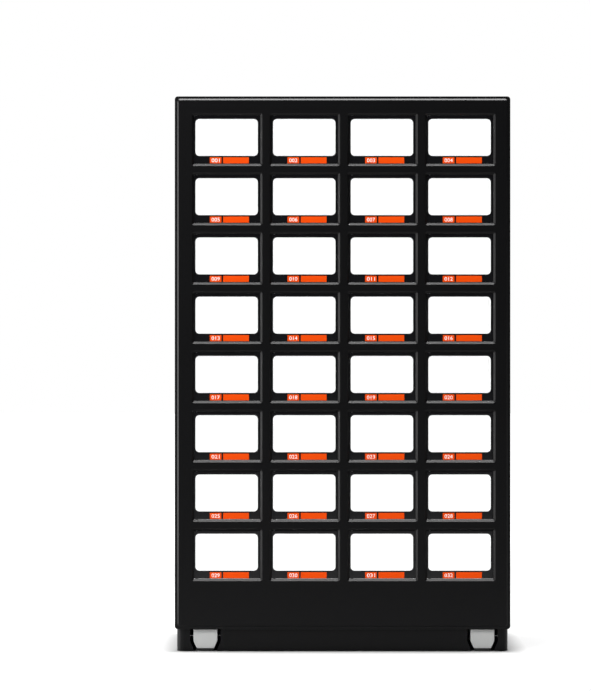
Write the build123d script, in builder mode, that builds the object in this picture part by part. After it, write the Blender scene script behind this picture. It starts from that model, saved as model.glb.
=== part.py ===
from build123d import *
from math import radians, tan
import os

os.makedirs("parts", exist_ok=True)

# A free-standing vending locker: a sheet steel cabinet whose front holds rows and columns of
# small glazed doors, each with its own compartment, lock and lamp.
# Millimetres. +Z is up, the doors face -Y, +X is to the right as seen by the customer.
# The origin is on the floor, in the middle of the footprint.

# Cabinet
overall_width = 1118.0
overall_height = 1850.0
overall_depth = 500.0
plinth_height = 75.0
sheet = 1.5
cabinet_corner_radius = 10.0
lid_flange = 35.0
seam = 0.5

# Grid of compartments
rows = 8
columns = 4
side_margin = 41.4
lower_panel_height = 149.5
mullion_width = 23.8
mullion_height = 22.0
grid_offset_x = 3.3
top_margin = 56.5

# Pressed front sheet: set-back rim, proud face, and a bevelled recess for each door
fascia_depth = 18.0
rim_width = 7.5
rim_bevel = 5.5
face_corner_radius = 5.0
recess_bevel = 7.0
recess_inner_radius = 1.0

# Welded frame behind the front sheet
frame_depth = 28.0
frame_wall = 1.5
upright_end_inset = 20.0

# Doors
door_gap = 1.2
door_setback = 8.0
door_thickness = 8.0
door_corner_radius = 1.5
window_radius = 13.0
window_from_recess_left = 12.0
window_from_recess_right = 15.0
window_from_recess_top = 18.5
window_from_recess_bottom = 34.0
pane_thickness = 3.0
pane_margin = 2.5
pane_clearance = 0.1

# Orange plates along the bottom rail of a door
plate_thickness = 1.0
plate_height = 20.4
plate_above_door_edge = 0.5
plate_corner_radius = 0.6
number_plate_width = 38.7
number_plate_from_recess_left = 60.1
price_plate_width = 85.8
price_plate_from_recess_left = 104.5

# Hinge pins and their bushes
pin_radius = 2.0
pin_from_door_edge = 8.0
pin_in_door = 6.0
pin_in_bush = 4.0
pin_running_clearance = 0.05
seat_clearance = 0.05
bush_flange_radius = 4.2
bush_flange_gap = 0.5
bush_barrel_radius = 3.5
bush_barrel_length = 5.5

# Strike on the door and lock on the partition
strike_sheet = 2.0
strike_foot = 17.0
strike_height = 16.0
strike_above_door_edge = 4.0
strike_from_door_side = 4.0
strike_tongue_reach = 24.0
strike_eye = 7.0
strike_screw_radius = 1.6
strike_screw_head_radius = 2.8
strike_screw_head_height = 1.4
strike_screw_spacing = 8.0
strike_screw_depth = 5.0
lock_inset = 1.0
lock_length = 55.0
lock_height = 34.0
lock_above_shelf = 4.0
lock_behind_frame = 0.5
hook_thickness = 2.0
hook_length = 16.0
hook_reach = 8.0
hook_above_strike = 1.5

# Compartment walls and lamps
shelf_sheet = 1.5
shelf_behind_door = 3.0
partition_sheet = 1.5
cell_back_from_rear = 50.0
lamp_length = 200.0
lamp_base_width = 14.0
lamp_base_height = 2.0
lamp_cover_width = 11.0
lamp_cover_height = 6.0
lamp_behind_frame = 3.0

# Rear panel and its screws
rear_panel_inset = 2.0
rear_return = 22.0
rear_fit_gap = 0.3
rear_screws_per_side = 6
rear_screw_from_end = 90.0
rear_screw_radius = 2.0
rear_screw_head_radius = 4.0
rear_screw_head_height = 1.8
rear_screw_length = 8.0
anchor_hole_radius = 5.5
anchor_spacing = 800.0
anchor_from_top = 60.0

# Plinth and levelling feet
plinth_side_inset = 6.0
plinth_front_setback = 20.0
plinth_rear_setback = 10.0
plinth_floor_gap = 1.0
plinth_corner_radius = 25.0
plinth_return = 60.0
plinth_top_flange = 20.0
foot_from_side = 96.6
foot_offset_x = 5.0
foot_width = 80.0
foot_depth = 58.0
foot_bottom_width = 59.0
foot_taper_height = 24.5
foot_pad_height = 9.5
foot_pad_inset = 2.0
foot_top = 72.5
foot_well_radius = 14.0
foot_well_depth = 8.5
foot_behind_plinth_face = 1.0
foot_from_rear_wall = 5.0
notch_gap = 11.0
spindle_radius = 6.0
spindle_top = 110.0
spindle_clearance = 0.08
spindle_hole_gap = 1.5
foot_nut_width = 19.0
foot_nut_height = 8.0
socket_size = 34.0
socket_height = 22.0

# Electronics in the bay under the lowest compartments, and the ducts behind the backs
board_width = 220.0
board_depth = 130.0
board_thickness = 1.6
board_x = 150.0
board_standoff_height = 10.0
board_standoff_radius = 3.0
board_standoff_inset = 6.0
terminal_width = 40.0
terminal_depth = 12.0
terminal_height = 11.0
terminals_per_side = 4
supply_width = 215.0
supply_depth = 115.0
supply_height = 50.0
supply_x = -160.0
supply_terminal_height = 16.0
supply_terminal_depth = 14.0
electronics_y = 60.0
duct_width = 40.0
duct_depth = 30.0
duct_wall = 1.5
inlet_from_side = 129.0
inlet_z = 150.0
inlet_width = 80.0
inlet_height = 64.0
inlet_well_depth = 26.0
inlet_sheet = 1.5
inlet_flange = 8.0
gland_radius = 12.0
gland_nut_width = 26.0
gland_nut_height = 6.0
gland_dome_height = 9.0
gland_tail = 8.0

# Places worked out from the sizes
front_y = -overall_depth / 2
rear_y = overall_depth / 2
half_width = overall_width / 2
fascia_height = overall_height - plinth_height
fascia_middle_z = plinth_height + fascia_height / 2
bend_turn = sheet * tan(radians(22.5))

cell_pitch_x = (overall_width - 2 * side_margin) / columns
cell_pitch_z = (fascia_height - top_margin + mullion_height / 2 - lower_panel_height) / rows
recess_width = cell_pitch_x - mullion_width
recess_height = cell_pitch_z - mullion_height
window_width = recess_width - window_from_recess_left - window_from_recess_right
window_height = recess_height - window_from_recess_top - window_from_recess_bottom
opening_width = recess_width - 2 * recess_bevel
opening_height = recess_height - 2 * recess_bevel
door_width = opening_width - 2 * door_gap
door_height = opening_height - 2 * door_gap
top_row_z = overall_height - top_margin - recess_height / 2
column_x = [grid_offset_x + (c - (columns - 1) / 2) * cell_pitch_x for c in range(columns)]
row_z = [top_row_z - (rows - 1 - r) * cell_pitch_z for r in range(rows)]

jamb_half_width = opening_width / 2 + sheet
jamb_half_height = opening_height / 2 + sheet
nose_depth = recess_bevel + bend_turn
frame_rear_y = front_y + frame_depth
post_half_width = cell_pitch_x / 2 - jamb_half_width
nose_half_width = (cell_pitch_x - recess_width) / 2 - bend_turn
post_x = [x + cell_pitch_x / 2 for x in column_x[:-1]]

door_front_y = front_y + door_setback
door_rear_y = door_front_y + door_thickness
door_middle_y = (door_front_y + door_rear_y) / 2
pin_x = pin_from_door_edge - door_width / 2
window_x = window_from_recess_left + (window_width - recess_width) / 2
window_z = (recess_height - window_height) / 2 - window_from_recess_top

partition_x = [column_x[0] - cell_pitch_x / 2] + post_x + [column_x[-1] + cell_pitch_x / 2]
cell_back_y = rear_y - cell_back_from_rear
shelf_front_y = door_rear_y + shelf_behind_door
shelf_top_z = [z - opening_height / 2 for z in row_z]
bay_ceiling_z = shelf_top_z[0] - shelf_sheet
loft_z = shelf_top_z[-1] + cell_pitch_z - shelf_sheet

inner_half_width = half_width - sheet
floor_top_z = plinth_height + sheet
rear_panel_y = rear_y - rear_panel_inset
body_front_y = front_y + fascia_depth + seam

strike_x = door_width / 2 - strike_from_door_side - strike_sheet
strike_z = -door_height / 2 + strike_above_door_edge + strike_height / 2
tongue_end_y = door_rear_y + strike_tongue_reach

plinth_front_y = front_y + plinth_front_setback
plinth_rear_y = rear_y - plinth_rear_setback
plinth_half_width = half_width - plinth_side_inset
plinth_middle_y = (plinth_front_y + plinth_rear_y) / 2
foot_half_spacing = half_width - foot_from_side
foot_x = {"left": foot_offset_x - foot_half_spacing, "right": foot_offset_x + foot_half_spacing}
inlet_x = inlet_from_side - half_width
foot_y = {
    "front": plinth_front_y + foot_behind_plinth_face + foot_depth / 2,
    "rear": plinth_rear_y - sheet - foot_from_rear_wall - foot_depth / 2,
}


def front_plane(depth):
    """A plane facing the customer, at this depth behind the front face."""
    return Plane.XZ.offset(-front_y - depth)


def level(z):
    return Plane.XY.offset(z)


def save(piece, name):
    piece.label = name
    export_step(piece, f"parts/{name}.step")


# Front sheet
# The rim stands back, the face stands proud of it, and 1.5 mm sheet follows both, so the back
# is hollow. Each recess is a funnel whose walls are the same sheet.
cell_places = [(x, z) for x in column_x for z in row_z]
rim_inner = rim_width + bend_turn
with BuildPart() as fascia_hollow:
    with BuildSketch(front_plane(rim_bevel + sheet)):
        with Locations((0, fascia_middle_z)):
            RectangleRounded(
                overall_width - 2 * sheet, fascia_height - 2 * sheet, cabinet_corner_radius - sheet
            )
    extrude(amount=-(fascia_depth - rim_bevel - sheet))
    with BuildSketch(front_plane(rim_bevel + sheet)):
        with Locations((0, fascia_middle_z)):
            RectangleRounded(
                overall_width - 2 * rim_inner, fascia_height - 2 * rim_inner, face_corner_radius + rim_bevel
            )
    extrude(amount=rim_bevel, taper=45)
    with BuildSketch(front_plane(nose_depth)):
        with Locations(*cell_places):
            RectangleRounded(2 * jamb_half_width, 2 * jamb_half_height, recess_inner_radius + sheet)
    extrude(amount=nose_depth - sheet, taper=-45, mode=Mode.SUBTRACT)

with BuildPart() as front_fascia:
    with BuildSketch(front_plane(rim_bevel)):
        with Locations((0, fascia_middle_z)):
            RectangleRounded(overall_width, fascia_height, cabinet_corner_radius)
    extrude(amount=-(fascia_depth - rim_bevel))
    with BuildSketch(front_plane(rim_bevel)):
        with Locations((0, fascia_middle_z)):
            RectangleRounded(
                overall_width - 2 * rim_width, fascia_height - 2 * rim_width, face_corner_radius + rim_bevel
            )
    extrude(amount=rim_bevel, taper=45)
    add(fascia_hollow.part, mode=Mode.SUBTRACT)
    with BuildSketch(front_plane(recess_bevel)) as recess_mouths:
        with Locations(*cell_places):
            RectangleRounded(opening_width, opening_height, recess_inner_radius)
    extrude(amount=recess_bevel, taper=-45, mode=Mode.SUBTRACT)
    extrude(recess_mouths.sketch, amount=-recess_bevel, mode=Mode.SUBTRACT)
save(front_fascia.part, "front_fascia")


# Welded frame of profiled tubes
# The front of each tube is a nose that fills the space between two funnels.
def tube_profile(plane, outline):
    with BuildSketch(plane) as profile:
        with BuildLine():
            Polyline(*outline, close=True)
        make_face()
        offset(amount=-frame_wall, kind=Kind.INTERSECTION, mode=Mode.SUBTRACT)
    return profile.sketch


nose_front_y = front_y + sheet
nose_back_y = front_y + nose_depth
corner_run = rim_inner + rim_bevel
post_outline = [
    (-nose_half_width, nose_front_y),
    (nose_half_width, nose_front_y),
    (post_half_width, nose_back_y),
    (post_half_width, frame_rear_y),
    (-post_half_width, frame_rear_y),
    (-post_half_width, nose_back_y),
]


def outer_post_outline(side, jamb_x):
    edge_x = side * half_width
    return [
        (edge_x - side * sheet, frame_rear_y),
        (edge_x - side * sheet, front_y + corner_run),
        (edge_x - side * corner_run, nose_front_y),
        (jamb_x + side * (nose_back_y - nose_front_y), nose_front_y),
        (jamb_x, nose_back_y),
        (jamb_x, frame_rear_y),
    ]


post_bottom_z = plinth_height + upright_end_inset
post_length = fascia_height - 2 * upright_end_inset
left_jamb_x = column_x[0] - jamb_half_width
right_jamb_x = column_x[-1] + jamb_half_width
with BuildPart() as frame_uprights:
    for x in post_x:
        outline = [(x + px, py) for px, py in post_outline]
        extrude(tube_profile(level(post_bottom_z), outline), amount=post_length)
    for outline in (outer_post_outline(-1, left_jamb_x), outer_post_outline(1, right_jamb_x)):
        extrude(tube_profile(level(post_bottom_z), outline), amount=post_length)
save(frame_uprights.part, "frame_uprights")

# Rails lie between the uprights, above and below each door, and hold the hinge bushes.
rail_length = 2 * jamb_half_width
rail_half_height = cell_pitch_z / 2 - jamb_half_height
rail_nose_half_height = (cell_pitch_z - recess_height) / 2 - bend_turn
rail_z = [z + cell_pitch_z / 2 for z in row_z[:-1]]
middle_rail_outline = [
    (nose_front_y, -rail_nose_half_height),
    (nose_front_y, rail_nose_half_height),
    (nose_back_y, rail_half_height),
    (frame_rear_y, rail_half_height),
    (frame_rear_y, -rail_half_height),
    (nose_back_y, -rail_half_height),
]
head_z = row_z[-1] + jamb_half_height
sill_z = row_z[0] - jamb_half_height
nose_run = nose_back_y - nose_front_y
head_rail_outline = [
    (frame_rear_y, overall_height - sheet),
    (front_y + corner_run, overall_height - sheet),
    (nose_front_y, overall_height - corner_run),
    (nose_front_y, head_z + nose_run),
    (nose_back_y, head_z),
    (frame_rear_y, head_z),
]
sill_rail_outline = [
    (frame_rear_y, sill_z),
    (nose_back_y, sill_z),
    (nose_front_y, sill_z - nose_run),
    (nose_front_y, plinth_height + corner_run),
    (front_y + corner_run, plinth_height + sheet),
    (frame_rear_y, plinth_height + sheet),
]
rail_outlines = [[(y, z + rz) for y, z in middle_rail_outline] for rz in rail_z]
rail_outlines += [head_rail_outline, sill_rail_outline]
bush_hole_radius = bush_barrel_radius + seat_clearance
with BuildPart() as frame_rails:
    for x in column_x:
        for outline in rail_outlines:
            extrude(tube_profile(Plane.YZ.offset(x - rail_length / 2), outline), amount=rail_length)
    for z in row_z:
        for jamb_z in (z - jamb_half_height - frame_wall, z + jamb_half_height):
            with BuildSketch(level(jamb_z)):
                with Locations(*[(x + pin_x, door_middle_y) for x in column_x]):
                    Circle(bush_hole_radius)
            extrude(amount=frame_wall, mode=Mode.SUBTRACT)
save(frame_rails.part, "frame_rails")

# Hinge bushes, one above and one below each door
bush_flange_height = sheet + door_gap - bush_flange_gap
bush_bore_radius = pin_radius + pin_running_clearance
with BuildPart() as hinge_bushes:
    for z in row_z:
        for side in (-1, 1):
            bush_spots = [(x + pin_x, door_middle_y) for x in column_x]
            with BuildSketch(level(z + side * jamb_half_height)):
                with Locations(*bush_spots):
                    Circle(bush_flange_radius)
                    Circle(bush_bore_radius, mode=Mode.SUBTRACT)
            extrude(amount=-side * bush_flange_height)
            with BuildSketch(level(z + side * jamb_half_height)):
                with Locations(*bush_spots):
                    Circle(bush_barrel_radius)
                    Circle(bush_bore_radius, mode=Mode.SUBTRACT)
            extrude(amount=side * bush_barrel_length)
save(hinge_bushes.part, "hinge_bushes")

# Door
# Every piece of a door is modelled once about the middle of its opening, then placed.
with BuildPart() as leaf:
    with BuildSketch(front_plane(door_setback)):
        RectangleRounded(door_width, door_height, door_corner_radius)
        with Locations((window_x, window_z)):
            RectangleRounded(window_width, window_height, window_radius, mode=Mode.SUBTRACT)
    extrude(amount=-door_thickness)
    with BuildSketch(front_plane(door_setback + door_thickness)):
        with Locations((window_x, window_z)):
            RectangleRounded(
                window_width + 2 * (pane_margin + pane_clearance),
                window_height + 2 * (pane_margin + pane_clearance),
                window_radius + pane_margin,
            )
    extrude(amount=pane_thickness, mode=Mode.SUBTRACT)
    for side in (-1, 1):
        with BuildSketch(level(side * door_height / 2)):
            with Locations((pin_x, door_middle_y)):
                Circle(pin_radius + seat_clearance)
        extrude(amount=-side * pin_in_door, mode=Mode.SUBTRACT)
    screw_x = strike_x - strike_foot / 2
    screw_places = [
        (screw_x, strike_z - strike_screw_spacing / 2),
        (screw_x, strike_z + strike_screw_spacing / 2),
    ]
    with BuildSketch(front_plane(door_setback + door_thickness)):
        with Locations(*screw_places):
            Circle(strike_screw_radius + seat_clearance)
    extrude(amount=strike_screw_depth, mode=Mode.SUBTRACT)

with BuildPart() as pane:
    with BuildSketch(front_plane(door_setback + door_thickness)):
        with Locations((window_x, window_z)):
            RectangleRounded(
                window_width + 2 * pane_margin, window_height + 2 * pane_margin, window_radius + pane_margin
            )
    extrude(amount=pane_thickness)

plate_z = -door_height / 2 + plate_above_door_edge + plate_height / 2
number_plate_x = -recess_width / 2 + number_plate_from_recess_left + number_plate_width / 2
price_plate_x = -recess_width / 2 + price_plate_from_recess_left + price_plate_width / 2
with BuildPart() as plates:
    with BuildSketch(front_plane(door_setback)):
        with Locations((number_plate_x, plate_z)):
            RectangleRounded(number_plate_width, plate_height, plate_corner_radius)
        with Locations((price_plate_x, plate_z)):
            RectangleRounded(price_plate_width, plate_height, plate_corner_radius)
    extrude(amount=plate_thickness)

pin_length = pin_in_door + door_gap + sheet + pin_in_bush
with BuildPart() as pins:
    for side in (-1, 1):
        with BuildSketch(level(side * (door_height / 2 - pin_in_door))):
            with Locations((pin_x, door_middle_y)):
                Circle(pin_radius)
        extrude(amount=side * pin_length)

with BuildPart() as strike:
    with BuildSketch(front_plane(door_setback + door_thickness + strike_sheet)):
        with Locations((strike_x + strike_sheet - strike_foot / 2, strike_z)):
            Rectangle(strike_foot, strike_height)
        with Locations(*screw_places):
            Circle(strike_screw_radius + seat_clearance, mode=Mode.SUBTRACT)
    extrude(amount=strike_sheet)
    with BuildSketch(Plane.YZ.offset(strike_x)):
        with Locations((door_rear_y + strike_tongue_reach / 2, strike_z)):
            Rectangle(strike_tongue_reach, strike_height)
        with Locations((tongue_end_y - strike_eye, strike_z)):
            Rectangle(strike_eye, strike_eye, mode=Mode.SUBTRACT)
    extrude(amount=strike_sheet)

with BuildPart() as strike_screws:
    with BuildSketch(front_plane(door_setback + door_thickness + strike_sheet)):
        with Locations(*screw_places):
            Circle(strike_screw_head_radius)
    extrude(amount=-strike_screw_head_height)
    with BuildSketch(front_plane(door_setback + door_thickness + strike_sheet)):
        with Locations(*screw_places):
            Circle(strike_screw_radius)
    extrude(amount=strike_sheet + strike_screw_depth - seat_clearance)

door_pieces = [leaf.part, pane.part, plates.part, pins.part, strike.part, strike_screws.part]
door_solids = [solid for piece in door_pieces for solid in piece.solids()]
for row, z in enumerate(row_z, start=1):
    for column, x in enumerate(column_x, start=1):
        door = Compound(children=[solid.moved(Location((x, 0, z))) for solid in door_solids])
        save(door, f"door_{row}0{column}")

# Compartments: shelves, partitions and backs
cell_clear_width = cell_pitch_x - partition_sheet
partition_height = loft_z - shelf_top_z[0]
shelf_depth = cell_back_y - shelf_front_y
with BuildPart() as shelves:
    for z in shelf_top_z[1:]:
        with BuildSketch(level(z - shelf_sheet)):
            with Locations(*[(x, (shelf_front_y + cell_back_y) / 2) for x in column_x]):
                Rectangle(rail_length, shelf_depth)
            with Locations(*[(x, (frame_rear_y + cell_back_y) / 2) for x in column_x]):
                Rectangle(cell_clear_width, cell_back_y - frame_rear_y)
        extrude(amount=shelf_sheet)
    for z, shelf_start_y in ((bay_ceiling_z, shelf_front_y), (loft_z, frame_rear_y)):
        with BuildSketch(level(z)):
            with Locations((0, (frame_rear_y + cell_back_y) / 2)):
                Rectangle(2 * inner_half_width, cell_back_y - frame_rear_y)
            with Locations(*[(x, (shelf_start_y + cell_back_y) / 2) for x in column_x]):
                Rectangle(rail_length, cell_back_y - shelf_start_y)
        extrude(amount=shelf_sheet)
save(shelves.part, "shelves")

with BuildPart() as column_partitions:
    with BuildSketch(level(shelf_top_z[0])):
        with Locations(*[(x, (frame_rear_y + cell_back_y) / 2) for x in partition_x]):
            Rectangle(partition_sheet, cell_back_y - frame_rear_y)
    extrude(amount=partition_height)
save(column_partitions.part, "column_partitions")

with BuildPart() as compartment_backs:
    for x in column_x:
        with BuildSketch(level(bay_ceiling_z)):
            with Locations((x, cell_back_y + partition_sheet / 2)):
                Rectangle(cell_pitch_x - seam, partition_sheet)
        extrude(amount=loft_z + shelf_sheet - bay_ceiling_z)
save(compartment_backs.part, "compartment_backs")

# Locks stand on the right-hand partition of each compartment, behind the upright.
# The hook is drawn back above the strike, as it is when the door has been released.
opening_edge = opening_width / 2
lock_left_x = opening_edge - lock_inset
lock_right_x = cell_pitch_x / 2 - partition_sheet / 2
lock_y = frame_rear_y + lock_behind_frame + lock_length / 2
lock_from_row = -opening_height / 2 + lock_above_shelf
with BuildPart() as lock_cases:
    for z in row_z:
        with BuildSketch(level(z + lock_from_row)):
            with Locations(*[(x + (lock_left_x + lock_right_x) / 2, lock_y) for x in column_x]):
                Rectangle(lock_right_x - lock_left_x, lock_length)
        extrude(amount=lock_height)
save(lock_cases.part, "lock_cases")

hook_z = strike_z + strike_height / 2 + hook_above_strike
hook_y = frame_rear_y + lock_behind_frame + hook_length / 2
with BuildPart() as lock_hooks:
    for z in row_z:
        with BuildSketch(level(z + hook_z)):
            with Locations(*[(x + lock_left_x - hook_reach / 2, hook_y) for x in column_x]):
                Rectangle(hook_reach, hook_length)
        extrude(amount=hook_thickness)
save(lock_hooks.part, "lock_hooks")

# A lamp under the shelf above each compartment: a flat base and its diffuser
lamp_y = frame_rear_y + lamp_behind_frame + lamp_base_width / 2
with BuildPart() as lamp_bases:
    for z in shelf_top_z:
        lamp_top_z = z + cell_pitch_z - shelf_sheet
        with BuildSketch(level(lamp_top_z)):
            with Locations(*[(x, lamp_y) for x in column_x]):
                Rectangle(lamp_length, lamp_base_width)
        extrude(amount=-lamp_base_height)

with BuildPart() as lamp_covers:
    for z in shelf_top_z:
        with BuildSketch(level(z + cell_pitch_z - shelf_sheet - lamp_base_height)):
            with Locations(*[(x, lamp_y) for x in column_x]):
                Rectangle(lamp_length, lamp_cover_width)
        extrude(amount=-lamp_cover_height, taper=15)
lamps = Compound(children=[*lamp_bases.part.solids(), *lamp_covers.part.solids()])
save(lamps, "compartment_lamps")


# Outer casing: lid and floor pan with turned flanges, flat sides, rear panel
def bent_cover(flat_z, direction):
    """A sheet with both sides bent over, seen from the front as a shallow U."""
    middle_z = flat_z - direction * lid_flange
    cut_z = flat_z - 2 * direction * lid_flange
    with BuildPart() as cover:
        with BuildSketch(front_plane(fascia_depth + seam)):
            with Locations((0, middle_z)):
                RectangleRounded(overall_width, 2 * lid_flange, cabinet_corner_radius)
                RectangleRounded(
                    overall_width - 2 * sheet,
                    2 * lid_flange - 2 * sheet,
                    cabinet_corner_radius - sheet,
                    mode=Mode.SUBTRACT,
                )
            with Locations((0, (middle_z + cut_z) / 2)):
                Rectangle(overall_width, lid_flange, mode=Mode.SUBTRACT)
        extrude(amount=-(rear_y - body_front_y))
    return cover.part


save(bent_cover(overall_height, 1), "top_panel")

with BuildPart() as floor_pan:
    add(bent_cover(plinth_height, -1))
    with BuildSketch(level(plinth_height)):
        with Locations(*[(x, y) for x in foot_x.values() for y in foot_y.values()]):
            Circle(spindle_radius + spindle_hole_gap)
    extrude(amount=sheet, mode=Mode.SUBTRACT)
save(floor_pan.part, "floor_pan")

side_bottom_z = plinth_height + lid_flange + seam
side_height = fascia_height - 2 * lid_flange - 2 * seam
return_front_y = rear_panel_y - 2 * sheet
screw_step = (side_height - 2 * rear_screw_from_end) / (rear_screws_per_side - 1)
screw_z = [side_bottom_z + rear_screw_from_end + i * screw_step for i in range(rear_screws_per_side)]
screw_column_x = inner_half_width - rear_return / 2
rear_screw_places = [(side * screw_column_x, z) for side in (-1, 1) for z in screw_z]
for side, name in ((-1, "side_panel_left"), (1, "side_panel_right")):
    with BuildPart() as side_panel:
        with BuildSketch(level(side_bottom_z)):
            with Locations((side * (half_width - sheet / 2), (body_front_y + rear_y) / 2)):
                Rectangle(sheet, rear_y - body_front_y)
            with Locations((side * (half_width - rear_return / 2), return_front_y + sheet / 2)):
                Rectangle(rear_return, sheet)
        extrude(amount=side_height)
        with BuildSketch(Plane.XZ.offset(-return_front_y)):
            with Locations(*[(side * screw_column_x, z) for z in screw_z]):
                Circle(rear_screw_radius + seat_clearance)
        extrude(amount=-sheet, mode=Mode.SUBTRACT)
    save(side_panel.part, name)

inlet_opening_width = inlet_width - 2 * inlet_flange
inlet_opening_height = inlet_height - 2 * inlet_flange
with BuildPart() as rear_panel:
    with BuildSketch(Plane.XZ.offset(-rear_panel_y)):
        with Locations((0, fascia_middle_z)):
            RectangleRounded(
                2 * (inner_half_width - rear_fit_gap),
                fascia_height - 2 * sheet - 2 * rear_fit_gap,
                cabinet_corner_radius - sheet,
            )
        with Locations(*rear_screw_places):
            Circle(rear_screw_radius + seat_clearance, mode=Mode.SUBTRACT)
        with Locations((inlet_x, inlet_z)):
            Rectangle(inlet_opening_width, inlet_opening_height, mode=Mode.SUBTRACT)
        anchor_z = overall_height - anchor_from_top
        with Locations((-anchor_spacing / 2, anchor_z), (anchor_spacing / 2, anchor_z)):
            Circle(anchor_hole_radius, mode=Mode.SUBTRACT)
    extrude(amount=sheet)
save(rear_panel.part, "rear_panel")

with BuildPart() as rear_screws:
    with BuildSketch(Plane.XZ.offset(-rear_panel_y)):
        with Locations(*rear_screw_places):
            Circle(rear_screw_head_radius)
    extrude(amount=-rear_screw_head_height)
    with BuildSketch(Plane.XZ.offset(-rear_panel_y)):
        with Locations(*rear_screw_places):
            Circle(rear_screw_radius)
    extrude(amount=rear_screw_length)
save(rear_screws.part, "rear_panel_screws")

# Plinth: bent front and rear pieces with a turned-in top, and flat sides. The front has a notch for
# each foot, and the rear is whole.
notch_top_half = foot_width / 2 + notch_gap
notch_bottom_half = foot_bottom_width / 2 + notch_gap
notch_taper_z = foot_pad_height + foot_taper_height
for end, name in (("front", "plinth_front"), ("rear", "plinth_rear")):
    facing = -1 if end == "front" else 1
    wall_y = plinth_front_y if end == "front" else plinth_rear_y
    with BuildPart() as plinth_end:
        with BuildSketch(level(plinth_floor_gap)):
            with Locations((0, plinth_middle_y)):
                RectangleRounded(
                    2 * plinth_half_width, plinth_rear_y - plinth_front_y, plinth_corner_radius
                )
                RectangleRounded(
                    2 * (plinth_half_width - sheet),
                    plinth_rear_y - plinth_front_y - 2 * sheet,
                    plinth_corner_radius - sheet,
                    mode=Mode.SUBTRACT,
                )
            with Locations((0, wall_y - facing * plinth_return / 2)):
                Rectangle(2 * plinth_half_width, plinth_return, mode=Mode.INTERSECT)
        extrude(amount=plinth_height - plinth_floor_gap)
        if end == "front":
            with BuildSketch(Plane.XZ.offset(-wall_y)):
                for x in foot_x.values():
                    with BuildLine():
                        Polyline(
                            (x - notch_bottom_half, 0),
                            (x - notch_bottom_half, foot_pad_height),
                            (x - notch_top_half, notch_taper_z),
                            (x - notch_top_half, plinth_height - sheet),
                            (x + notch_top_half, plinth_height - sheet),
                            (x + notch_top_half, notch_taper_z),
                            (x + notch_bottom_half, foot_pad_height),
                            (x + notch_bottom_half, 0),
                            close=True,
                        )
                    make_face()
            extrude(amount=2 * sheet, both=True, mode=Mode.SUBTRACT)
        with BuildSketch(level(plinth_height)):
            with Locations((0, plinth_middle_y)):
                RectangleRounded(
                    2 * plinth_half_width, plinth_rear_y - plinth_front_y, plinth_corner_radius
                )
                RectangleRounded(
                    2 * (plinth_half_width - plinth_top_flange),
                    plinth_rear_y - plinth_front_y - 2 * plinth_top_flange,
                    plinth_corner_radius - plinth_top_flange,
                    mode=Mode.SUBTRACT,
                )
            with Locations((0, wall_y - facing * plinth_return / 2)):
                Rectangle(2 * plinth_half_width, plinth_return, mode=Mode.INTERSECT)
        extrude(amount=-sheet)
    save(plinth_end.part, name)

side_wall_length = plinth_rear_y - plinth_front_y - 2 * plinth_return
with BuildPart() as plinth_sides:
    with BuildSketch(level(plinth_floor_gap)):
        for side in (-1, 1):
            with Locations((side * (plinth_half_width - sheet / 2), plinth_middle_y)):
                Rectangle(sheet, side_wall_length)
    extrude(amount=plinth_height - plinth_floor_gap)
save(plinth_sides.part, "plinth_sides")

# Levelling feet: shoe, pad, spindle and lock nut travel together in a threaded socket.
# The nut sits in a well in the shoe's top.
nut_bottom_z = foot_top - foot_well_depth
shoe_places = [(x, y) for x in foot_x.values() for y in foot_y.values()]
with BuildPart() as foot_sockets:
    with BuildSketch(level(floor_top_z)):
        with Locations(*shoe_places):
            Rectangle(socket_size, socket_size)
            Circle(spindle_radius + spindle_clearance, mode=Mode.SUBTRACT)
    extrude(amount=socket_height)
save(foot_sockets.part, "foot_sockets")

for side, x in foot_x.items():
    for end, y in foot_y.items():
        with BuildPart() as shoe:
            with BuildSketch(Plane.XZ.offset(-(y + foot_depth / 2))):
                with BuildLine():
                    Polyline(
                        (x - foot_bottom_width / 2, foot_pad_height),
                        (x - foot_width / 2, notch_taper_z),
                        (x - foot_width / 2, foot_top),
                        (x + foot_width / 2, foot_top),
                        (x + foot_width / 2, notch_taper_z),
                        (x + foot_bottom_width / 2, foot_pad_height),
                        close=True,
                    )
                make_face()
            extrude(amount=foot_depth)
            with BuildSketch(level(nut_bottom_z)):
                with Locations((x, y)):
                    Circle(foot_well_radius)
            extrude(amount=foot_well_depth, mode=Mode.SUBTRACT)
        with BuildPart() as pad:
            with BuildSketch(level(0)):
                with Locations((x, y)):
                    Rectangle(foot_bottom_width - 2 * foot_pad_inset, foot_depth - 2 * foot_pad_inset)
            extrude(amount=foot_pad_height)
        with BuildPart() as spindle:
            with BuildSketch(level(nut_bottom_z)):
                with Locations((x, y)):
                    Circle(spindle_radius)
            extrude(amount=spindle_top - nut_bottom_z)
        with BuildPart() as nut:
            with BuildSketch(level(nut_bottom_z)):
                with Locations((x, y)):
                    RegularPolygon(foot_nut_width / 2, 6, major_radius=False)
                    Circle(spindle_radius, mode=Mode.SUBTRACT)
            extrude(amount=foot_nut_height)
        foot_pieces = [shoe.part, pad.part, spindle.part, nut.part]
        foot = Compound(children=[solid for piece in foot_pieces for solid in piece.solids()])
        save(foot, f"foot_{end}_{side}")

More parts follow.
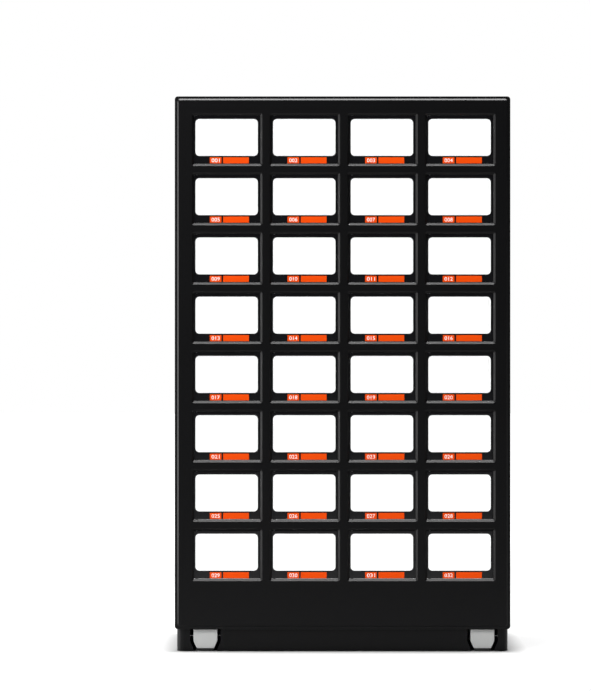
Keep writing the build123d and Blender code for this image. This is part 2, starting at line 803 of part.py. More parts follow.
# Lock control board on its standoffs, with terminal blocks along both long edges
board_z = floor_top_z + board_standoff_height
with BuildPart() as lock_control_board:
    with BuildSketch(level(board_z)):
        with Locations((board_x, electronics_y)):
            Rectangle(board_width, board_depth)
    extrude(amount=board_thickness)
    with BuildSketch(level(floor_top_z)):
        with Locations((board_x, electronics_y)):
            with GridLocations(
                board_width - 2 * board_standoff_inset, board_depth - 2 * board_standoff_inset, 2, 2
            ):
                Circle(board_standoff_radius)
    extrude(amount=board_standoff_height)
    with BuildSketch(level(board_z + board_thickness)):
        with Locations((board_x, electronics_y)):
            with GridLocations(
                board_width / terminals_per_side, board_depth - terminal_depth, terminals_per_side, 2
            ):
                Rectangle(terminal_width, terminal_depth)
    extrude(amount=terminal_height)
save(lock_control_board.part, "lock_control_board")

with BuildPart() as power_supply:
    with BuildSketch(level(floor_top_z)):
        with Locations((supply_x, electronics_y)):
            Rectangle(supply_width, supply_depth)
    extrude(amount=supply_height)
    with BuildSketch(level(floor_top_z)):
        with Locations((supply_x, electronics_y - (supply_depth + supply_terminal_depth) / 2)):
            Rectangle(supply_width - 2 * supply_terminal_depth, supply_terminal_depth)
    extrude(amount=supply_terminal_height)
save(power_supply.part, "power_supply")

# Wiring ducts stand on the bay ceiling's line, on the rear of the compartment backs
duct_y = cell_back_y + partition_sheet + duct_depth / 2
with BuildPart() as wiring_ducts:
    with BuildSketch(level(bay_ceiling_z)):
        for x in (post_x[0], post_x[-1]):
            with Locations((x, duct_y)):
                Rectangle(duct_width, duct_depth)
                Rectangle(duct_width - 2 * duct_wall, duct_depth - 2 * duct_wall, mode=Mode.SUBTRACT)
    extrude(amount=loft_z - bay_ceiling_z)
save(wiring_ducts.part, "wiring_ducts")

# Power inlet: a recessed well behind the rear panel with a blind cable gland in its floor
well_back_y = rear_panel_y - sheet
well_floor_y = well_back_y - inlet_well_depth
with BuildPart() as power_inlet:
    with BuildSketch(Plane.XZ.offset(-well_back_y)):
        with Locations((inlet_x, inlet_z)):
            Rectangle(inlet_width, inlet_height)
    extrude(amount=inlet_sheet)
    with BuildSketch(Plane.XZ.offset(-well_back_y)):
        with Locations((inlet_x, inlet_z)):
            Rectangle(inlet_opening_width + 2 * inlet_sheet, inlet_opening_height + 2 * inlet_sheet)
    extrude(amount=inlet_well_depth)
    with BuildSketch(Plane.XZ.offset(-well_back_y)):
        with Locations((inlet_x, inlet_z)):
            Rectangle(inlet_opening_width, inlet_opening_height)
    extrude(amount=inlet_well_depth - inlet_sheet, mode=Mode.SUBTRACT)
    with BuildSketch(Plane.XZ.offset(-(well_floor_y + inlet_sheet))):
        with Locations((inlet_x, inlet_z)):
            RegularPolygon(gland_nut_width / 2, 6, major_radius=False)
    extrude(amount=-gland_nut_height)
    with BuildSketch(Plane.XZ.offset(-(well_floor_y + inlet_sheet + gland_nut_height))):
        with Locations((inlet_x, inlet_z)):
            Circle(gland_radius)
    extrude(amount=-gland_dome_height, taper=20)
    with BuildSketch(Plane.XZ.offset(-well_floor_y)):
        with Locations((inlet_x, inlet_z)):
            Circle(gland_radius)
    extrude(amount=gland_tail)
save(power_inlet.part, "power_inlet")
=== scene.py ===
# %% [markdown]
# # A vending locker in black powder coat
# The object is a steel cabinet with 32 small glazed doors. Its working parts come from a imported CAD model,
# which gives every place and size. This script gives it its looks: it keeps the CAD pieces whose shape is
# already right, models the front sheet, the doors and the feet again with fine edges, and then builds
# materials, lights and a camera. Everything is in metres, with +Z up and the doors facing -Y.

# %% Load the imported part
import math

import bmesh
import bpy
from mathutils import Matrix, Vector


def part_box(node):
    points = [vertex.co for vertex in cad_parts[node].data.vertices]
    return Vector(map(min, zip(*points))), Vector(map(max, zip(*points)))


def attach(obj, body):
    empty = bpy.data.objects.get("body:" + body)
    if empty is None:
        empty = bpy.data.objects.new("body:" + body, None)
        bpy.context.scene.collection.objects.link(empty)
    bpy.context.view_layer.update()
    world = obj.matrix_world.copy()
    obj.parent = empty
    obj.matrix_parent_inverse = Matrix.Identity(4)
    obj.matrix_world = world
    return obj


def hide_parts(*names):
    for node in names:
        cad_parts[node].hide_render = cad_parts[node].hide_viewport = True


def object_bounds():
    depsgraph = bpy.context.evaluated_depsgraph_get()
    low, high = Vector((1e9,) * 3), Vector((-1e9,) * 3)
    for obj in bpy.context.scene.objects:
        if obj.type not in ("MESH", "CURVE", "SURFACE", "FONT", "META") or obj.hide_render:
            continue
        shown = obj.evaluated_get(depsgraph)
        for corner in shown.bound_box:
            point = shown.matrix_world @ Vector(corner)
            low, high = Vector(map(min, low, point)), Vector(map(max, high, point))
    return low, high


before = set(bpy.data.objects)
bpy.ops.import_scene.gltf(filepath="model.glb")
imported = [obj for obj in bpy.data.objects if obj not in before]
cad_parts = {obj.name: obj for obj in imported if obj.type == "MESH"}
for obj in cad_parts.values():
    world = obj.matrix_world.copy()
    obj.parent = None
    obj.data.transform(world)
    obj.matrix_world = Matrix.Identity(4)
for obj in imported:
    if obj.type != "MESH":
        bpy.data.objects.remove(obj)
cad_low, cad_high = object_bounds()
MM = 0.001
print("CAD box in mm:", [round(v / MM, 1) for v in (*cad_low, *cad_high)])

# %% [markdown]
# ## Where the doors are
# Each door rides on a body of its own, door_101 to door_804: the first digit is the row, counted from the
# floor, and the last is the column, from the left. The middle of each opening is read from the CAD door,
# so a change of the cabinet's grid moves the modelled doors with it.

# %% Find the middle of each opening
ROWS = range(1, 9)
COLUMNS = range(1, 5)
DOOR_NAMES = [f"{row}0{column}" for row in ROWS for column in COLUMNS]


def opening_middle(number):
    """The middle of a door's opening, at y 0."""
    low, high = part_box(f"door_{number}")
    return Vector(((low.x + high.x) / 2, 0, (low.z + high.z) / 2))


middles = {number: opening_middle(number) for number in DOOR_NAMES}
FRONT_Y = cad_low.y
print(len(middles), "doors, the first at", [round(v, 4) for v in middles["101"]])

# %% [markdown]
# ## The camera
# The picture shows the cabinet squarely from the front, a little above its middle, with both sides hidden
# and straight lines still straight. A long lens far away does that. A 135 mm lens on a 36 mm sensor sees
# 2.3 m of height from 8.63 m in front of the doors, which puts the cabinet at its real size in the frame.

# %% Set the camera
CAMERA_PLACE = (-0.1568, -8.877, 1.02)
camera_data = bpy.data.cameras.new("camera")
camera_data.lens = 135
camera_data.sensor_width = 36
camera_data.clip_end = 100
camera = bpy.data.objects.new("camera", camera_data)
camera.location = CAMERA_PLACE
camera.rotation_euler = (math.radians(90), 0, 0)
bpy.context.scene.collection.objects.link(camera)
bpy.context.scene.camera = camera
print("camera at", tuple(camera.location))

# %% [markdown]
# ## Colours and nodes
# Paint colours are usually given as sRGB hex values, but a renderer works with linear light. One function
# turns the one into the other. A second small function adds a shader node with its settings and links, so
# that a material reads from top to bottom like a recipe.

# %% Make the two material helpers


def linear(hex_colour):
    """The linear RGBA value of an sRGB hex colour."""
    channels = [int(hex_colour[i : i + 2], 16) / 255 for i in (0, 2, 4)]
    return (*[c / 12.92 if c <= 0.04045 else ((c + 0.055) / 1.055) ** 2.4 for c in channels], 1)


def add_node(tree, kind, settings, links=()):
    """Adds a node. Settings name an attribute or an input, links name an input and the socket it reads."""
    new = tree.nodes.new(kind)
    for name, value in settings.items():
        if isinstance(name, str) and hasattr(new, name):
            setattr(new, name, value)
        else:
            new.inputs[name].default_value = value
    for name, socket in dict(links).items():
        tree.links.new(socket, new.inputs[name])
    return new


print("mid grey in linear light:", [round(v, 4) for v in linear("808080")])

# %% [markdown]
# ## A coated surface
# Powder coat, enamel and moulded plastic have the same build: one body colour that wanders a little over
# large patches, a grain that the process leaves, and a gloss that the grain breaks up. Powder melts into
# a skin of small bumps, a mould leaves a spark-eroded grain, and an extrusion is nearly smooth. So one
# recipe takes the two colours, the gloss, the grain's spacing and its height, and each finish is named
# for the real one. The grain of a fine texture powder is about 0.5 mm, which is smaller than a pixel
# here, so it is drawn about twice as coarse. It stays low, because a high grain would make the thin
# bright lines on the bevels look wavy.

# %% Write the recipe for coated surfaces
PATCH = 180 * MM
GLOSS_SPREAD = 0.08
# A Mix node has sockets for each kind of data, and these are the ones for colours.
MIX_FIRST = 6
MIX_SECOND = 7
MIX_RESULT = 2


def new_finish(name):
    """A new material. Returns it with its node tree and its shader."""
    material = bpy.data.materials.new(name)
    material.use_nodes = True
    tree = material.node_tree
    return material, tree, tree.nodes["Principled BSDF"]


def tint(tree, shader, pattern, colour, second_colour):
    """Lets the surface wander between two colours, as the pattern does."""
    mixed = add_node(
        tree,
        "ShaderNodeMix",
        {"data_type": "RGBA", MIX_FIRST: linear(colour), MIX_SECOND: linear(second_colour)},
        {"Factor": pattern.outputs["Fac"]},
    )
    tree.links.new(mixed.outputs[MIX_RESULT], shader.inputs["Base Color"])


def roughen(tree, shader, grains, roughness, spread, height):
    """Lets the grain break up the gloss and stand up as bumps of this height."""
    gloss = add_node(
        tree,
        "ShaderNodeMapRange",
        {"To Min": roughness - spread, "To Max": roughness + spread},
        {"Value": grains.outputs["Fac"]},
    )
    tree.links.new(gloss.outputs["Result"], shader.inputs["Roughness"])
    bump = add_node(tree, "ShaderNodeBump", {"Distance": height}, {"Height": grains.outputs["Fac"]})
    tree.links.new(bump.outputs["Normal"], shader.inputs["Normal"])


def coated(
    name, colour, second_colour, roughness, grain, height, ior=1.5, specular=0.5, spread=GLOSS_SPREAD
):
    """A material for paint or plastic, with the grain's spacing and height in metres."""
    material, tree, shader = new_finish(name)
    shader.inputs["IOR"].default_value = ior
    shader.inputs["Specular IOR Level"].default_value = specular
    place = add_node(tree, "ShaderNodeTexCoord", {}).outputs["Object"]
    patches = add_node(tree, "ShaderNodeTexNoise", {"Scale": 1 / PATCH, "Detail": 3}, {"Vector": place})
    tint(tree, shader, patches, colour, second_colour)
    grains = add_node(tree, "ShaderNodeTexNoise", {"Scale": 1 / grain, "Detail": 2}, {"Vector": place})
    roughen(tree, shader, grains, roughness, spread, height)
    return material


# %% [markdown]
# ## The cabinet's finishes
# The casing has a fine textured black powder coat. Its faces stay deep black under strong light, and only
# the bevels that mirror a lamp turn bright, so the paint is very dark and its specular level is low.
# The inside of each compartment is satin white powder. The frame has plain matt black paint. The feet
# are castings in light grey enamel.

# %% Mix the coats
black_coat = coated(
    "black_texture_powder_coat", "050506", "070708", 0.35, 1.2 * MM, 0.04 * MM, specular=0.13
)
frame_paint = coated("matt_black_frame_paint", "0a0a0b", "0e0e0f", 0.6, 2 * MM, 0.05 * MM, specular=0.12)
white_coat_and_painted_glow = coated("satin_white_powder_coat", "f2f2f2", "ebebeb", 0.4, 1.6 * MM, 0.05 * MM)
foot_enamel = coated("light_grey_stove_enamel", "b4b5b4", "aeafae", 0.35, 2.5 * MM, 0.03 * MM, specular=0.3)
gloss_black = coated(
    "gloss_black_moulded_abs", "0c0c0e", "101012", 0.16, 3 * MM, 0.01 * MM, 1.53, 0.25, spread=0.03
)
orange_vinyl = coated("orange_cast_vinyl", "da4500", "d64200", 0.42, 1 * MM, 0.02 * MM, 1.5, 0.1)
white_print = coated("white_screen_print", "f2f0ee", "ecebe9", 0.45, 0.8 * MM, 0.01 * MM)
duct_vinyl = coated("extruded_grey_pvc", "a9abad", "a1a3a5", 0.4, 2 * MM, 0.02 * MM, 1.53)
black_nylon = coated("moulded_black_polyamide", "1a1a1b", "222223", 0.48, 1 * MM, 0.05 * MM, 1.53)
black_rubber = coated("moulded_black_rubber", "161616", "202020", 0.75, 1.5 * MM, 0.08 * MM, 1.52)
solder_mask = coated("green_solder_mask", "0e4a2b", "0c4025", 0.25, 1.2 * MM, 0.02 * MM, 1.55)
print(len(bpy.data.materials), "materials so far")

# %% [markdown]
# ## Bare and plated metal
# Zinc plating on small hardware is bright with a fine crystal bloom, and the power supply's case is
# aluminium as it comes from the rolling mill, with lines along the sheet. Both are metals: metallic 1, the
# default IOR, and a colour that is the metal's own reflection. Stretching the grain along one axis draws
# the rolling lines.

# %% Write the recipe for metals


def metal(name, colour, second_colour, roughness, grain, height, stretch=(1, 1, 1)):
    """A metal whose grain is drawn out along an axis by a small stretch value there."""
    material, tree, shader = new_finish(name)
    shader.inputs["Metallic"].default_value = 1
    place = add_node(tree, "ShaderNodeTexCoord", {}).outputs["Object"]
    drawn = add_node(tree, "ShaderNodeMapping", {"Scale": stretch}, {"Vector": place})
    grains = add_node(
        tree, "ShaderNodeTexNoise", {"Scale": 1 / grain, "Detail": 3}, {"Vector": drawn.outputs["Vector"]}
    )
    tint(tree, shader, grains, colour, second_colour)
    roughen(tree, shader, grains, roughness, GLOSS_SPREAD, height)
    return material


zinc = metal("bright_zinc_plate", "c9cacb", "b9bbbd", 0.3, 4 * MM, 0.01 * MM)
lock_zinc = metal("satin_zinc_plate", "b7b9bb", "a5a7aa", 0.4, 6 * MM, 0.02 * MM)
rolled_aluminium = metal("rolled_aluminium", "cfd1d3", "c4c6c8", 0.35, 1 * MM, 0.01 * MM, (0.04, 1, 1))
print("metals:", zinc.name, lock_zinc.name, rolled_aluminium.name)

# %% [markdown]
# ## The panes and the lamps
# A pane is 3 mm cast acrylic: clear, with an IOR of 1.49 and faces as smooth as glass. Wiping leaves
# faint haze, which is drawn as a small wander of roughness. Each compartment has a strip lamp under an
# opal cover. It lights the white box behind the pane, and that is why the windows look white. The cover is
# polycarbonate that scatters the light, so its face glows evenly. In a white box this light bounces many
# times from wall to wall, which takes long to render, so the walls get a weak even glow in its place. The
# two together are set so that the walls are just white in the picture: a stronger light would spill over
# the dark edge of the window.

# %% Make the acrylic and the opal cover
WIPING_SPACING = 40 * MM
HAZE = 0.03
LAMP_GLOW = 7
# Strength of the painted glow on the white compartment walls, standing in for the lamp's light bounced
# between them.
PAINTED_BOUNCE_GLOW = 0.28
acrylic, acrylic_tree, acrylic_shader = new_finish("clear_cast_acrylic")
acrylic_shader.inputs["Base Color"].default_value = linear("fdfefe")
acrylic_shader.inputs["IOR"].default_value = 1.49
acrylic_shader.inputs["Transmission Weight"].default_value = 1
acrylic_place = add_node(acrylic_tree, "ShaderNodeTexCoord", {}).outputs["Object"]
wiping = add_node(
    acrylic_tree, "ShaderNodeTexNoise", {"Scale": 1 / WIPING_SPACING, "Detail": 4}, {"Vector": acrylic_place}
)
haze = add_node(
    acrylic_tree, "ShaderNodeMapRange", {"To Min": 0.0, "To Max": HAZE}, {"Value": wiping.outputs["Fac"]}
)
acrylic_tree.links.new(haze.outputs["Result"], acrylic_shader.inputs["Roughness"])

opal = coated("opal_polycarbonate", "f6f6f6", "f0f0f0", 0.35, 2 * MM, 0.02 * MM, 1.58)
# The opal cover glows as the lamp's face. The glow on the white coat is painted light: an even glow in place
# of the lamp's light bouncing between the walls.
for lit, strength in ((opal, LAMP_GLOW), (white_coat_and_painted_glow, PAINTED_BOUNCE_GLOW)):
    lit_shader = lit.node_tree.nodes["Principled BSDF"]
    lit_shader.inputs["Emission Color"].default_value = linear("ffffff")
    lit_shader.inputs["Emission Strength"].default_value = strength
print("lamp strength", LAMP_GLOW, "and wall strength", PAINTED_BOUNCE_GLOW)

# %% [markdown]
# ## Dress the CAD pieces
# Most CAD pieces are already right in shape: flat panels, shelves, ducts and tubes. Each is given its
# finish by putting a material in its slots, and its mesh stays as it is.

# %% Give each CAD piece its finish
CAD_FINISHES = {
    black_coat: [
        "top_panel",
        "floor_pan",
        "side_panel_left",
        "side_panel_right",
        "rear_panel",
        "plinth_front",
        "plinth_rear",
        "plinth_sides",
    ],
    frame_paint: ["front_fascia", "frame_uprights", "frame_rails"],
    white_coat_and_painted_glow: ["shelves", "column_partitions", "compartment_backs"],
    lock_zinc: ["lock_cases", "foot_sockets"],
    zinc: ["lock_hooks", "rear_panel_screws"],
    opal: ["compartment_lamps"],
    solder_mask: ["lock_control_board"],
    rolled_aluminium: ["power_supply"],
    duct_vinyl: ["wiring_ducts"],
    black_nylon: ["power_inlet", "hinge_bushes"],
    gloss_black: [f"door_{number}" for number in DOOR_NAMES],
    foot_enamel: [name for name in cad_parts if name.startswith("foot_") and name != "foot_sockets"],
}
for finish, names in CAD_FINISHES.items():
    for name in names:
        node_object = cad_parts[name]
        for slot in node_object.material_slots:
            slot.material = finish
        if not node_object.material_slots:
            node_object.data.materials.append(finish)
dressed = sum(len(names) for names in CAD_FINISHES.values())
print(dressed, "of", len(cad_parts), "CAD pieces dressed")

# %% [markdown]
# ## Modelling by hand, in code
# Three habits keep the modelling steps short. An operator acts on all that is selected, so a new piece
# starts with nothing selected. In edit mode, vertices are picked by a rule about their place. And nearly
# every piece of sheet or moulding here is a rectangle with round corners: a plane whose four corners are
# bevelled. Several such outlines, one behind another, become a shape by bridging them in turn.

# %% Make the modelling helpers


def start_piece(name):
    """A new object with an empty mesh, in edit mode."""
    bpy.ops.object.select_all(action="DESELECT")
    bpy.ops.mesh.primitive_plane_add(size=1)
    piece = bpy.context.object
    piece.name = piece.data.name = name
    bpy.ops.object.mode_set(mode="EDIT")
    bpy.ops.mesh.delete(type="VERT")
    bmesh.from_edit_mesh(piece.data).verts.layers.int.new("outline")
    return piece


SAME_PLACE = 0.01 * MM


def pick(piece, rule, mode="VERT"):
    """Selects the vertices that pass the rule, or the edges whose two ends both pass it."""
    mesh = bmesh.from_edit_mesh(piece.data)
    bpy.ops.mesh.select_mode(type=mode)
    bpy.ops.mesh.select_all(action="DESELECT")
    chosen = [v for v in mesh.verts if rule(v)]
    if mode == "EDGE":
        marked = set(chosen)
        chosen = [e for e in mesh.edges if all(v in marked for v in e.verts)]
    for part in chosen:
        part.select_set(True)
    mesh.select_flush_mode()
    bmesh.update_edit_mesh(piece.data)


CORNER_STEPS = 6
FACING_FRONT = (math.radians(90), 0, 0)
FACING_UP = (0, 0, 0)


def number_outline(number):
    """Writes a number on the selected vertices, by which the outline is found again."""
    mesh = bmesh.from_edit_mesh(bpy.context.object.data)
    layer = mesh.verts.layers.int["outline"]
    for vertex in mesh.verts:
        if vertex.select:
            vertex[layer] = number
    bmesh.update_edit_mesh(bpy.context.object.data)


def add_outline(width, depth, radius, middle, turn=FACING_FRONT, keep_face=False, number=0):
    """In edit mode, a plane of this size with its corners rounded, or only its outline."""
    bpy.ops.mesh.select_all(action="DESELECT")
    bpy.ops.mesh.primitive_plane_add(size=1, location=middle, rotation=turn)
    growth = (width, 1, depth) if turn == FACING_FRONT else (width, depth, 1)
    bpy.ops.transform.resize(value=growth, center_override=middle)
    bpy.ops.mesh.bevel(offset=radius, segments=CORNER_STEPS, profile=0.5, affect="VERTICES")
    number_outline(number)
    if not keep_face:
        bpy.ops.mesh.delete(type="ONLY_FACE")


def pick_outlines(piece, *numbers):
    """Selects the edges that run along these outlines, not those between them."""
    mesh = bmesh.from_edit_mesh(piece.data)
    layer = mesh.verts.layers.int["outline"]
    bpy.ops.mesh.select_mode(type="EDGE")
    bpy.ops.mesh.select_all(action="DESELECT")
    for edge in mesh.edges:
        ends = {vertex[layer] for vertex in edge.verts}
        if len(ends) == 1 and ends <= set(numbers):
            edge.select_set(True)
    bmesh.update_edit_mesh(piece.data)


SPREAD = 0.1


def bridge_in_turn(piece, numbers, closed=False, along=(0, 1, 0)):
    """Bridges outlines in the order of their numbers, and the last with the first if closed.
    Two outlines in one plane bridge wrongly, so they are spread apart first and moved back after."""
    numbers = list(numbers)
    for i, number in enumerate(numbers):
        pick_outlines(piece, number)
        bpy.ops.transform.translate(value=Vector(along) * SPREAD * i)
    following = numbers[1:] + numbers[:1] if closed else numbers[1:]
    for near, far in zip(numbers, following):
        pick_outlines(piece, near, far)
        bpy.ops.mesh.bridge_edge_loops()
    for i, number in enumerate(numbers):
        pick_outlines(piece, number)
        bpy.ops.transform.translate(value=Vector(along) * -SPREAD * i)


WELD_DISTANCE = 0.01 * MM
SMOOTH_BELOW = math.radians(35)


def finish_piece(piece, material, outward=True):
    """Leaves edit mode with the faces turned outwards, smooth where the surface is round."""
    bpy.ops.mesh.select_mode(type="VERT")
    bpy.ops.mesh.select_all(action="SELECT")
    bpy.ops.mesh.remove_doubles(threshold=WELD_DISTANCE)
    if outward:
        bpy.ops.mesh.normals_make_consistent(inside=False)
    bpy.ops.object.mode_set(mode="OBJECT")
    if "outline" in piece.data.attributes:
        piece.data.attributes.remove(piece.data.attributes["outline"])
    bpy.ops.object.transform_apply(location=True, rotation=True, scale=True)
    bpy.ops.object.shade_smooth_by_angle(angle=SMOOTH_BELOW)
    piece.data.materials.clear()
    piece.data.materials.append(material)
    return piece


FAVOUR_LARGE_FACES = 100


def keep_flats_flat(piece):
    """Weights the normals by face area, so that a small round edge doesn't shade the flat beside it."""
    weighting = piece.modifiers.new("flat_faces", "WEIGHTED_NORMAL")
    weighting.keep_sharp = True
    weighting.weight = FAVOUR_LARGE_FACES
    bpy.ops.object.select_all(action="DESELECT")
    bpy.context.view_layer.objects.active = piece
    piece.select_set(True)
    bpy.ops.object.modifier_apply(modifier=weighting.name)


# %% [markdown]
# ## The front sheet
# The front is one pressed sheet. Its middle stands proud of a narrow rim, and each door sits in a funnel
# with sloping sides. The edges of these folds are what the light catches, so each has two narrow rings
# that round it. First one funnel is made from outlines that step inwards and backwards. It is then
# duplicated over the grid. The rim is another set of outlines, and the fill operator closes the flat face
# between the rim and the 32 holes. Solidify gives the sheet its 1.5 mm.

# %% Press one funnel
SHEET = 1.5 * MM
RECESS_WIDTH = 235 * MM
RECESS_HEIGHT = 175.5 * MM
RECESS_RADIUS = 8 * MM
first_middle = middles["101"]
front_sheet = start_piece("front_sheet")
# Each outline steps in from the recess's edge and back from the front, in millimetres.
funnel_steps = [(-0.7, 0), (-0.2, 0.08), (0.3, 0.45), (6.8, 6.8), (7.0, 7.1), (7.0, 7.6)]
for i, (step_in, step_back) in enumerate(funnel_steps):
    add_outline(
        RECESS_WIDTH - 2 * step_in * MM,
        RECESS_HEIGHT - 2 * step_in * MM,
        RECESS_RADIUS - step_in * MM,
        (first_middle.x, FRONT_Y + step_back * MM, first_middle.z),
        number=i,
    )
bridge_in_turn(front_sheet, range(len(funnel_steps)))
print("one funnel:", len(bmesh.from_edit_mesh(front_sheet.data).faces), "faces")

# %% [markdown]
# The funnel is repeated by duplicating it to each door's middle, as a press repeats its tool.

# %% Repeat the funnel over the grid


def in_first_funnel(vertex):
    """Whether a vertex belongs to the funnel that is copied."""
    across, up = vertex.co.x - first_middle.x, vertex.co.z - first_middle.z
    return abs(across) < RECESS_WIDTH / 2 + 1 * MM and abs(up) < RECESS_HEIGHT / 2 + 1 * MM


for number in DOOR_NAMES[1:]:
    pick(front_sheet, in_first_funnel)
    step = middles[number] - first_middle
    bpy.ops.mesh.duplicate_move(TRANSFORM_OT_translate={"value": step})
print("all funnels:", len(bmesh.from_edit_mesh(front_sheet.data).faces), "faces")

# %% [markdown]
# The rim steps back 5.5 mm at 45 degrees, runs flat to the cabinet's edge, and turns the corner with a
# small round. Its last outlines are the side of the sheet, 18 mm deep.

# %% Add the rim and fill the face
FASCIA_WIDTH = cad_high.x - cad_low.x
FASCIA_LOW, FASCIA_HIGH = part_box("front_fascia")
FASCIA_HEIGHT = FASCIA_HIGH.z - FASCIA_LOW.z
fascia_middle_z = (FASCIA_HIGH.z + FASCIA_LOW.z) / 2
RIM_SET_BACK = 5.5
RIM_WIDTH = 7.5
EDGE_ROUND = 0.7
# Halfway round a quarter circle, a point is 0.3 of the radius from both of its sides.
HALFWAY_ROUND = 0.3
CABINET_RADIUS = 10
RIM_NUMBER = 100
# In millimetres, each outline steps in from the cabinet's side and back from the front, and the last
# value is the radius of its corners.
rim_steps = [
    (RIM_WIDTH + RIM_SET_BACK + 0.7, 0, 5),
    (RIM_WIDTH + RIM_SET_BACK + 0.2, 0.08, 5.4),
    (RIM_WIDTH + RIM_SET_BACK - 0.3, 0.45, 5.8),
    (RIM_WIDTH + 0.3, RIM_SET_BACK - 0.3, 10.3),
    (RIM_WIDTH - 0.2, RIM_SET_BACK, 10.6),
    (EDGE_ROUND, RIM_SET_BACK, CABINET_RADIUS - EDGE_ROUND),
    (
        EDGE_ROUND * HALFWAY_ROUND,
        RIM_SET_BACK + EDGE_ROUND * HALFWAY_ROUND,
        CABINET_RADIUS - EDGE_ROUND * HALFWAY_ROUND,
    ),
    (0, RIM_SET_BACK + EDGE_ROUND, CABINET_RADIUS),
    (0, (FASCIA_HIGH.y - FASCIA_LOW.y) / MM, CABINET_RADIUS),
]
for i, (step_in, step_back, radius) in enumerate(rim_steps):
    add_outline(
        FASCIA_WIDTH - 2 * step_in * MM,
        FASCIA_HEIGHT - 2 * step_in * MM,
        radius * MM,
        (0, FRONT_Y + step_back * MM, fascia_middle_z),
        number=RIM_NUMBER + i,
    )
bridge_in_turn(front_sheet, range(RIM_NUMBER, RIM_NUMBER + len(rim_steps)))
pick(front_sheet, lambda v: abs(v.co.y - FRONT_Y) < SAME_PLACE, "EDGE")
bpy.ops.mesh.fill(use_beauty=True)
finish_piece(front_sheet, black_coat, outward=False)
bpy.ops.object.mode_set(mode="EDIT")
bpy.ops.mesh.select_all(action="SELECT")
bpy.ops.mesh.normals_make_consistent(inside=False)
facing = sum(f.normal.y * f.calc_area() for f in bmesh.from_edit_mesh(front_sheet.data).faces)
if facing > 0:
    bpy.ops.mesh.flip_normals()
bpy.ops.object.mode_set(mode="OBJECT")
thickness = front_sheet.modifiers.new("sheet_thickness", "SOLIDIFY")
thickness.thickness = SHEET
thickness.offset = -1
thickness.use_even_offset = True
bpy.ops.object.modifier_apply(modifier=thickness.name)
keep_flats_flat(front_sheet)
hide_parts("front_fascia")
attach(front_sheet, "cabinet")
print("front sheet:", len(front_sheet.data.polygons), "faces")

# %% [markdown]
# ## A door leaf
# The leaf is one gloss black moulding, 8 mm thick, with a window that has large round corners. Behind the
# window a rebate holds the pane. Six outlines describe it all: the outer edge and the window at the front,
# the window's foot and the rebate, and the rebate and outer edge at the rear. Bridging them in a ring
# gives a closed body, and the front edges get a small bevel like the one the mould leaves.
# It is modelled about the middle of its opening and copied to the 32 places at the end.

# %% Mould the door leaf
DOOR_WIDTH = 218.6 * MM
DOOR_HEIGHT = 159.1 * MM
DOOR_RADIUS = 1.5 * MM
DOOR_SET_BACK = 8 * MM
DOOR_THICKNESS = 8 * MM
DOOR_FRONT = FRONT_Y + DOOR_SET_BACK
DOOR_REAR = DOOR_FRONT + DOOR_THICKNESS
MOULD_EDGE = 0.7 * MM
WINDOW_MIDDLE_X = -1.5 * MM
WINDOW_MIDDLE_Z = 7.75 * MM
WINDOW_WIDTH = 208 * MM
WINDOW_HEIGHT = 123 * MM
WINDOW_RADIUS = 13 * MM
PANE_THICKNESS = 3 * MM
REBATE = 2.6 * MM
leaf = start_piece("door_leaf")
pane_front = DOOR_REAR - PANE_THICKNESS
outer_edge = (DOOR_WIDTH, DOOR_HEIGHT, DOOR_RADIUS)
window_edge = (WINDOW_WIDTH, WINDOW_HEIGHT, WINDOW_RADIUS)
rebate_edge = (WINDOW_WIDTH + 2 * REBATE, WINDOW_HEIGHT + 2 * REBATE, WINDOW_RADIUS + REBATE)
leaf_steps = [
    (outer_edge, DOOR_FRONT),
    (window_edge, DOOR_FRONT),
    (window_edge, pane_front),
    (rebate_edge, pane_front),
    (rebate_edge, DOOR_REAR),
    (outer_edge, DOOR_REAR),
]
for i, (size, y) in enumerate(leaf_steps):
    place = (0, y, 0) if size == outer_edge else (WINDOW_MIDDLE_X, y, WINDOW_MIDDLE_Z)
    add_outline(*size, place, number=i)
bridge_in_turn(leaf, range(len(leaf_steps)), closed=True)
pick_outlines(leaf, 0, 1)
bpy.ops.mesh.bevel(offset=MOULD_EDGE, segments=2, profile=0.5, affect="EDGES")
finish_piece(leaf, gloss_black)
keep_flats_flat(leaf)
print("door leaf:", len(leaf.data.polygons), "faces")

# %% [markdown]
# ## Flat pieces on the door
# The pane, the number plate and the price plate are flat blanks: an outline with its face kept, extruded
# to its thickness, with the edges of the front broken by a fine bevel.

# %% Cut the pane and the two plates
PANE_MARGIN = 2.5 * MM
PLATE_HEIGHT = 20.4 * MM
PLATE_RADIUS = 0.6 * MM
PLATE_THICKNESS = 1 * MM
PLATE_Z = -68.85 * MM
PLATE_FRONT = DOOR_FRONT - PLATE_THICKNESS
NUMBER_PLATE_X = -38.05 * MM
NUMBER_PLATE_WIDTH = 38.7 * MM
PRICE_PLATE_X = 29.9 * MM
PRICE_PLATE_WIDTH = 85.8 * MM
BROKEN_EDGE = 0.2 * MM


def flat_blank(name, width, height, radius, middle_x, middle_z, front, rear, material):
    """A flat piece with round corners, from its front to its rear, with the front's edge broken."""
    blank = start_piece(name)
    add_outline(width, height, radius, (middle_x, front, middle_z), keep_face=True)
    bpy.ops.mesh.extrude_region_move(TRANSFORM_OT_translate={"value": (0, rear - front, 0)})
    pick(blank, lambda v: abs(v.co.y - front) < SAME_PLACE, "EDGE")
    bpy.ops.mesh.bevel(offset=BROKEN_EDGE, segments=2, profile=0.5, affect="EDGES")
    finish_piece(blank, material)
    keep_flats_flat(blank)
    print(name, [round(v / MM, 2) for v in blank.dimensions], "mm")
    return blank


def orange_plate(name, width, middle_x):
    """One of the two vinyl plates under the window."""
    return flat_blank(
        name, width, PLATE_HEIGHT, PLATE_RADIUS, middle_x, PLATE_Z, PLATE_FRONT, DOOR_FRONT, orange_vinyl
    )


